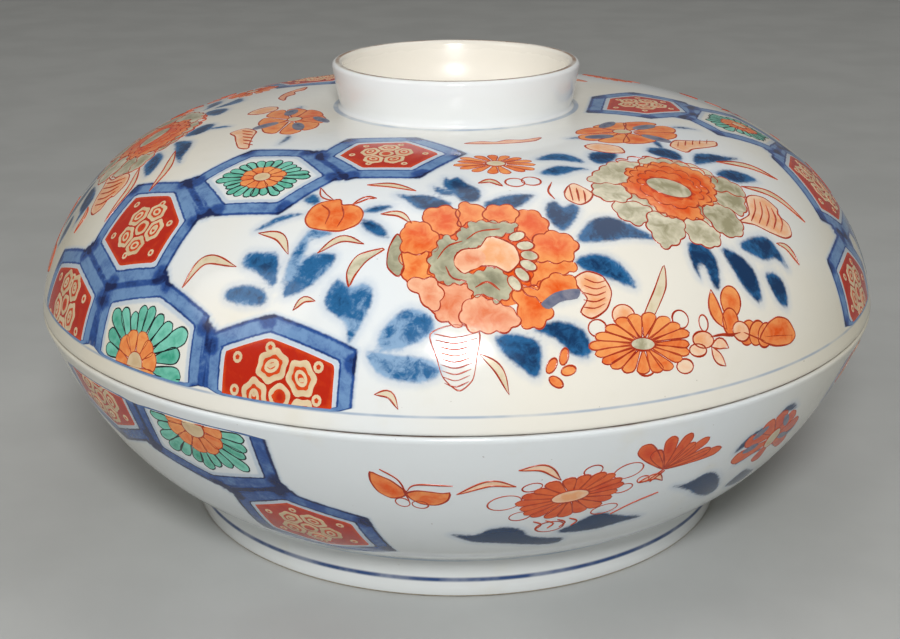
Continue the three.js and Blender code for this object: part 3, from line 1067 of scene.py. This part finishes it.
def front_flowers(brush):
    """The spiky chrysanthemum at the lower right, its blossom sprig and its small outline flowers."""
    chrysanthemum(brush, (47, -118), 14.5, 7.4, 18, 19, "orange", "line", 0.25, 0.75, width=0.4,
                  lift=MIDDLE)
    brush.oval("olive", (47, -118), 3.4, 1.5, 15, LINES)
    for at, rx, ry in (((41, -112.5), 3, 2.6), ((56.5, -109), 2.4, 2.2), ((45.5, -114), 1.6, 1.2),
                       ((60, -119.5), 2.6, 1.7), ((49, -123.5), 2.4, 1.5), ((63.3, -107.5), 1.4, 2),
                       ((64, -111.5), 3.3, 2), ((63, -114.5), 2.7, 1.5), ((34.5, -117), 2.4, 2)):
        brush.oval("peach" if rx > 2.5 else None, at, rx, ry, 20, GROUND)
    for bend, end in (((69.6, -110.2), (72.3, -110.3)), ((69.3, -113.8), (72.6, -114.8))):
        brush.blade([(66.8, -112.2), bend, end], 2.6, "peach")
    brush.shape("buff", [(46.5, -111), (48.6, -104), (50.8, -96.5), (51.7, -102), (50.4, -107),
                         (48.8, -111)], width=0.4)
    brush.stroke([(66, -110), (69.5, -108), (72, -107), (75, -105)], 0.7)
    brush.blade([(70.6, -106.2), (66.4, -103.2), (64.2, -98.2)], 3.6, "orange")
    brush.oval("orange", (70.6, -98.6), 3.2, 4.0)
    brush.oval("orange", (71.4, -103.8), 2.6, 3.4, 10, GROUND + OVERLAP)
    brush.oval("peach", (75.2, -104.6), 2.9, 2.4, 20, GROUND + OVERLAP * 2)
    for i, (x, y) in enumerate(((77.6, -103.8), (80.6, -102.4), (83.6, -101.4))):
        brush.oval("orange", (x, y), 2.5, 3.5, -20, GROUND + OVERLAP * i)
    brush.shape("orange", [(82, -103.5), (83.5, -98.5), (86.5, -94.8), (90.5, -93.2), (94.5, -95),
                           (93, -98.5), (88, -102)], GROUND + OVERLAP * 3)
    brush.stroke([(83.5, -102), (87.5, -99.5), (93.5, -95.8)], 0.4)
    brush.stroke([(76, -104.5), (80, -103.8), (84, -103)], 0.6)


def orange_bud(brush):
    """The round bud at the left of the large peony, between two whisker leaves."""
    brush.shape("orange", [(-37, -86), (-35.5, -82.5), (-33, -81), (-28.5, -80.8), (-28, -83),
                           (-25.5, -83.5), (-23.5, -85), (-22.7, -87.5), (-24, -90.5), (-28, -92),
                           (-32, -91), (-36, -89)])
    brush.stroke([(-33, -82), (-31, -85), (-32, -89)], 0.45)
    brush.stroke([(-28, -83.5), (-27.5, -87), (-29, -90.5)], 0.45)
    brush.blade([(-33.5, -75), (-32.5, -78.5), (-30, -81)], 1.4, None)
    brush.blade([(-25.5, -83.5), (-22, -81.5), (-19.5, -82)], 1.1, None)


def front_crescents(brush):
    """Curved buff leaves drawn in red, scattered between the flowers."""
    for points, width in (
            ([(-71, -94), (-63.5, -89.5), (-55, -95)], 2.4),
            ([(-49, -87), (-43.5, -90), (-41.3, -96)], 2.2),
            ([(-34, -97.5), (-28, -94.5), (-22.5, -97)], 1.8), ([(-22, -76), (-16, -77), (-10, -80)], 1.6),
            ([(-18.5, -88), (-14, -88.5), (-11, -92)], 1.6),
            ([(-41, -111), (-38, -109), (-35, -110)], 1.4), ([(74, -57), (84, -53.5), (95, -56)], 2.2),
            ([(84, -73), (88, -72), (92.5, -74.5)], 1.8), ([(68, -48), (78, -43.5), (87, -43)], 2.2),
            ([(-22, -134), (-18, -134.5), (-16, -138)], 1.6), ([(5, -126), (10, -129.5), (13, -135)], 2.0),
            ([(5, -77), (8, -75.8), (11, -78)], 1.5)):
        brush.blade(points, width)
    brush.shape("olive", [(-26.5, -108), (-26.8, -104), (-24, -100), (-17.5, -99), (-22, -102),
                          (-25, -105.5)])
    for at in ((14, -76), (18, -75)):
        brush.oval(None, at, 2.4, 1.9)
    brush.shape(None, [(-7, -121.5), (-5.5, -127), (-4, -131.5), (0, -134.5), (3.5, -132), (4.5, -127),
                         (5, -121), (-1, -119.5)], GROUND, width=0.35)
    for i in range(9):
        wide = 6.0 - 0.28 * i
        y = -121.5 - 1.4 * i
        brush.stroke([(-wide, y), (-0.8, y - 0.9), (wide - 1.2, y + 0.3)], 0.32)
    for at, turn in (((23.5, -127.5), 60), ((25, -131), -20), ((28, -128), 20), ((26.5, -125), 80)):
        brush.oval("orange", at, 2.0, 1.1, turn)


def ring_side_flowers(brush):
    """The smaller flowers of a reserve, close under the ring handle."""
    chrysanthemum(brush, (9.5, -66.5), 10.5, 5.8, 0, 15, "orange", "line", 0.3, 0.5, width=0.3)
    brush.oval("buff", (9.5, -66.5), 2.5, 1.6, 0, MIDDLE)
    brush.shape("salmon", [(2, -51.5), (6, -49.5), (10, -50), (13, -47.8), (17, -47.8), (22, -45),
                           (20, -48.5), (14, -51), (8, -51.8)])


def open_flower(brush):
    """The open eight-petalled flower with dark leaf tips across it, and the petals beside it."""
    chrysanthemum(brush, (45, -37), 15, 8.5, 32, 8, "orange", "line", 0.2, 0.75)
    brush.oval("buff", (44, -37), 2.4, 1.8, 20, MIDDLE)
    brush.shape("peach", [(34, -50), (37, -48), (42, -49), (43, -52.5), (39, -53.5), (35, -52.5)])
    brush.shape("peach", [(55, -44), (56.5, -39.5), (60.5, -37.5), (64.5, -35.4), (67.6, -33.6),
                          (67.4, -36.5), (64, -40), (60.5, -43), (58.5, -46)])
    for i in range(5):
        brush.stroke([(56.8 + 2 * i, -43.5 + 1.6 * i), (57.4 + 2 * i, -39.8 + 1.5 * i)], 0.35)
    for at, turn in (((38, -42.5), 20), ((41, -31), 60), ((50, -31.5), 40), ((52, -40), -20)):
        brush.oval("slate", at, 3.8, 1.5, turn, UPPER, None)
    brush.wisp(0.85, [(30, -45), (33, -44), (37, -44)], 1.6)
    brush.wisp(0.85, [(57, -29), (60, -27.5), (64, -27)], 1.6)


def reserve(brush, flower):
    """Everything painted on the white ground between two groups of panels."""
    great_peony(brush)
    second_peony(brush)
    second_peony_leaves(brush)
    front_leaves(brush)
    front_flowers(brush)
    orange_bud(brush)
    front_crescents(brush)
    ring_side_flowers(brush)
    open_flower(brush.moved(OPEN_FLOWER, flower, 1.1))


# ---------------------------------------------------------------- flowers of the bowl
BOWL_RED = [(-1, -10), (10, -5.3), (25, -11), (25, -24), (12, -29), (-1, -23)]
BOWL_GREEN = [(-24.5, 24), (-24, 5.5), (-10, 0.8), (6, 5), (6.3, 24)]
BOWL_LEFT = [(-62, 24), (-35, 24), (-34, 9), (-47, 3.5), (-61, 9)]


def bowl_panels(brush):
    """Two panels cut by the rim and one below them."""
    red_panel(brush, BOWL_RED)
    red_panel(brush, BOWL_LEFT)
    green_panel(brush, BOWL_GREEN, (-9.3, 17), 24, 23, 0)


def butterfly(brush):
    """A butterfly seen from the side, over the bowl's daisy."""
    brush.shape("orange", [(36, 11.6), (35.4, 8.2), (36.4, 4.5), (39, 2.4), (42, 3.3), (43, 5),
                           (40.5, 8.8), (37.5, 10.8)])
    brush.shape("orange", [(43, 4.5), (46, 5.6), (51.5, 4.8), (53.3, 5), (52, 2), (49, 0.2), (45.5, 0.6),
                           (43.5, 2.5)])
    brush.oval(None, (41.2, 0.9), 1.7, 1.7, 30, width=0.4)
    brush.oval(None, (45.2, 0.2), 1.9, 1.5, 0, width=0.4)
    for line in ([(38.5, 12.8), (42, 9.5), (43, 5)], [(43, 5), (46, 7.8), (54.5, 7.6)],
                 [(42.5, 5.8), (42.8, 3.5), (43, 1.5)]):
        brush.stroke(line, 0.45)


def bowl_daisy(brush):
    """The spiky daisy of the bowl, with loops and curved leaves about it."""
    chrysanthemum(brush, (-16, 1), 13.2, 8.2, 10, 19, "vermilion", "line", 0.25, 0.75, width=0.35,
                  lift=MIDDLE)
    brush.oval("peach", (-16.3, 1.4), 4.6, 2.3, 8, LINES)
    for at, rx, ry in (((-32, 0.5), 4, 2.8), ((-27, -5.5), 2.6, 1.9), ((-5.5, -6.5), 3.4, 2),
                       ((-3, 8), 3.8, 2.6), ((-2.8, 1.4), 2.5, 1.6), ((-12.5, 10), 2.3, 1.8),
                       ((-26.5, 6), 2.4, 1.5)):
        brush.oval(None, at, rx, ry, 12, width=0.4)
    brush.blade([(-44, 4.5), (-37, 8.2), (-30.5, 6.8)], 1.9, "peach")
    brush.blade([(-31, 12.5), (-25, 12.7), (-20, 8)], 2.0, "peach")
    brush.blade([(1, 2.8), (5.5, 3.8), (8, 1.5)], 2.0, "peach")
    brush.oval(None, (2, 3.6), 1.6, 1.3, 0, width=0.4)
    brush.stroke([(8.5, -3.5), (2, -6), (-3, -9.5)], 0.4)
    for i in range(4):
        brush.stroke([(-23 + 3 * i, -8.5), (-20.5 + 3 * i, -10.3), (-21.5 + 3 * i, -12.5)], 0.4)


def petal(brush, base, tip, wide, colour):
    """A petal that widens from its base to a blunt end."""
    base, tip = np.array(base, float), np.array(tip, float)
    along = tip - base
    across = np.array([-along[1], along[0]]) / np.hypot(*along) * wide
    left = [base + along * share + across * part for share, part in ((0.55, 0.42), (0.88, 0.46))]
    right = [base + along * share - across * part for share, part in ((0.88, 0.46), (0.55, 0.42))]
    brush.shape(colour, [base, *left, tip, *right], width=0.4)


def bowl_fan(brush):
    """An opened orange flower seen from its side, on a short stem, and a blossom in dark leaves."""
    for tip, wide in (((14, 13.5), 3.0), ((2.5, 13.5), 3.4), ((20, 9.5), 3.0), ((-1.5, 16), 4.4),
                      ((6.5, 17.5), 3.6), ((12, 17.2), 3.2), ((18.2, 14), 3.0), ((23.8, 8.5), 3.2)):
        petal(brush, (7, 6), tip, wide, "vermilion")
    for start, end in (((7, 6), (3, 2.4)), ((7.5, 5.5), (4.2, 2))):
        brush.stroke([start, end], 0.4)
    for base, tip, wide in (
            ((45, 3), (30.5, 0.5), 5.0), ((44, 5), (33, 6.8), 4.6), ((45, 5), (39, 11.5), 5.0),
            ((46, 5), (45, 13.5), 5.0), ((46, 4), (52, 11), 5.2), ((46, 3), (57, 5.5), 5.0),
            ((46, 2), (55, -2.5), 4.6), ((45, 2), (42, -5), 4.4)):
        petal(brush, base, tip, wide, "vermilion")
    brush.oval("buff", (45.5, 3.4), 2.6, 3.6, -20, MIDDLE)
    for at, turn in (((38, 8.5), 30), ((36.5, 3.2), 10), ((48.5, 9), -60), ((51, 2), -20)):
        brush.oval("slate", at, 3.0, 1.2, turn, MIDDLE, None)


def bowl_leaves(brush):
    """The dark leaves low on the belly and behind the blossom."""
    for ink, points in (
            (0.95, [(-42, -13.5), (-36, -14), (-33, -11), (-28, -10.5), (-24, -13), (-22, -16), (-18, -18),
                    (-12, -20), (-14, -24), (-28, -20), (-35, -18.5)]),
            (0.85, [(-15, -16), (-12, -12), (-7, -8), (-2, -10), (2, -12), (8, -15), (2, -16),
                    (-5, -17.5)]),
            (0.8, [(12.5, -2.5), (17, -3), (22, -1), (25, -1.5), (27, -3), (30, -7), (32, -13), (29, -15),
                   (22, -10), (19, -7)]), (0.8, [(36, -14), (40, -8), (44, -10), (48, -13), (44, -17)])):
        brush.leaf(ink, points)
    for points, width in (([(30, 4), (35, 8), (41, 10)], 3.5), ([(43, 12), (47, 14), (52, 12)], 3),
                          ([(46, 2), (52, 1), (58, 3)], 3.5), ([(33, -2), (38, 1), (43, 0)], 3)):
        brush.wisp(0.95, points, width)
    brush.oval(None, (-18, -12), 3.5, 2.6, 0)


# Where on the lid's chart the open flower of a reserve lies, and how the groups go round the lid
OPEN_FLOWER = (45, -37)
RIGHT_EDGE_TURN = 128
BACK_PANELS_TURN = 242
RESERVES = ((0, OPEN_FLOWER), (126, OPEN_FLOWER), (239, (42.5, -26.9)))
# How the groups go round the bowl: each is centred so many degrees from the front, and so far up
BOWL_TURNS = (0, 120, 240)
BOWL_PANELS_AT = -28
BOWL_FLOWERS_AT = 22
BOWL_MIDDLE = 43


def lid_painting(skin, enamels, leaves, panels):
    brush = Brush(LidChart(skin), enamels, leaves, panels)
    panel_group(brush)
    right_panels(brush)
    panel_group(brush.turned(BACK_PANELS_TURN))
    for turn, flower in RESERVES:
        reserve(brush.turned(turn), flower)


def bowl_painting(skin, enamels, leaves, panels):
    for turn in BOWL_TURNS:
        left = Brush(BowlChart(skin, BOWL_PANELS_AT + turn, BOWL_MIDDLE), enamels, leaves, panels)
        flowers = Brush(BowlChart(skin, BOWL_FLOWERS_AT + turn, BOWL_MIDDLE), enamels, leaves, panels)
        bowl_panels(left)
        butterfly(left)
        bowl_daisy(flowers)
        bowl_fan(flowers)
        bowl_leaves(flowers)


# ---------------------------------------------------------------- the painted bodies
def painted_body(body, outline, chart_limit, flip, paint, glaze, finishes):
    """One glazed body, and on it one raised piece for each colour of enamel."""
    enamels = {colour: Enamel() for colour in finishes}
    leaves, panels = [], []
    paint(outline[0], enamels, leaves, panels)
    body_piece(f"{body}_porcelain", body, outline, chart_limit, flip, glaze, leaves, panels)
    for colour, enamel in enamels.items():
        if enamel.count:
            enamel.piece(f"{body}_{colour}", body, f"{body}_glaze", finishes[colour])


def bowl_and_lid():
    """Both glazed bodies with all their painting."""
    finishes = enamel_materials()
    lid_glaze = porcelain(
        "lid_glaze", warmth=0.35, cream_before=-15.5, wall=0.9, strength=0.0,
        pale_lines=[(106.2, 0.05), (0.2, 0.5)], dark_lines=[],
        stains=[(111.2, 0.25, 0.7), (-15.0, 0.3, 0.9)], bare=[(115.4, 3.4)])
    painted_body("lid", lid_profile(), LID_MARGIN, True, lid_painting, lid_glaze, finishes)
    bowl_glaze = porcelain(
        "bowl_glaze", warmth=0.1, cream_before=NOWHERE, wall=0.0, strength=0.3,
        pale_lines=[(-0.6, 0.4), (0.9, 0.35)], dark_lines=[(-7.4, 0.25)],
        stains=[(67.0, 0.25, 0.7)], bare=[(-14.2, 1.9)])
    painted_body("bowl", bowl_profile(), BOWL_MARGIN, False, bowl_painting, bowl_glaze, finishes)


# ---------------------------------------------------------------- floor, light and camera
FLOOR_HALF = 3  # metres
LENS = 60.85
SENSOR = 36.0
CAMERA_TARGET = (-1.94, 0.0, 49.57)
CAMERA_DISTANCE = 460.44
CAMERA_DOWN = 19.634  # degrees
CAMERA_ROLL = -0.235


def floor():
    """A plain pale floor."""
    mesh = bpy.data.meshes.new("floor")
    corners = [(x * FLOOR_HALF, y * FLOOR_HALF, 0) for x, y in ((-1, -1), (1, -1), (1, 1), (-1, 1))]
    mesh.from_pydata(corners, [], [(0, 1, 2, 3)])
    n = Nodes("pale_floor")
    soft = n.fade(n.noise(0.02, 4.0), 0.35, 0.65)
    mesh.materials.append(n.finish(n.mix(soft, srgb(182, 184, 182), srgb(188, 190, 188)), 0.7))
    piece = bpy.data.objects.new("floor", mesh)
    bpy.context.scene.collection.objects.link(piece)


def light(name, place, target, size, power, colour=(1.0, 1.0, 1.0)):
    """A round soft lamp at a place in metres, facing its target."""
    lamp = bpy.data.lights.new(name, "AREA")
    lamp.shape = "DISK"
    lamp.size = size
    lamp.energy = power
    lamp.color = colour
    piece = bpy.data.objects.new(name, lamp)
    piece.location = place
    piece.rotation_euler = (Vector(target) - Vector(place)).to_track_quat("-Z", "Y").to_euler()
    bpy.context.scene.collection.objects.link(piece)


def studio():
    """A small key lamp that glints on the front of the dome, two large soft lamps and a dim room."""
    world = bpy.data.worlds.new("soft_room")
    world.use_nodes = True
    background = world.node_tree.nodes["Background"]
    background.inputs["Color"].default_value = (1.0, 0.98, 0.95, 1.0)
    background.inputs["Strength"].default_value = 0.2
    bpy.context.scene.world = world
    bpy.context.scene.view_settings.view_transform = "Standard"
    light("key", (0.007, -0.594, 0.442), (0.0, 0.0, 0.07), 0.14, 3.0)
    light("left", (-1.2, -0.5, 1.1), (0.0, 0.0, 0.05), 0.9, 3.4, (1.0, 0.98, 0.95))
    light("top", (0.3, 0.4, 1.5), (0.0, 0.0, 0.05), 1.2, 4.2, (1.0, 0.98, 0.94))


def camera():
    """The photograph's view: from the front, looking down at about twenty degrees."""
    lens = bpy.data.cameras.new("camera")
    lens.lens = LENS
    lens.sensor_width = SENSOR
    piece = bpy.data.objects.new("camera", lens)
    pitch = math.radians(CAMERA_DOWN)
    back = Vector((0.0, -math.cos(pitch), math.sin(pitch)))
    piece.location = (Vector(CAMERA_TARGET) + back * CAMERA_DISTANCE) * MM
    piece.rotation_euler = (math.radians(90.0) - pitch, 0.0, 0.0)
    piece.rotation_euler.rotate_axis("Z", math.radians(CAMERA_ROLL))
    bpy.context.scene.collection.objects.link(piece)
    bpy.context.scene.camera = piece


bowl_and_lid()
floor()
studio()
camera()
bpy.context.view_layer.update()
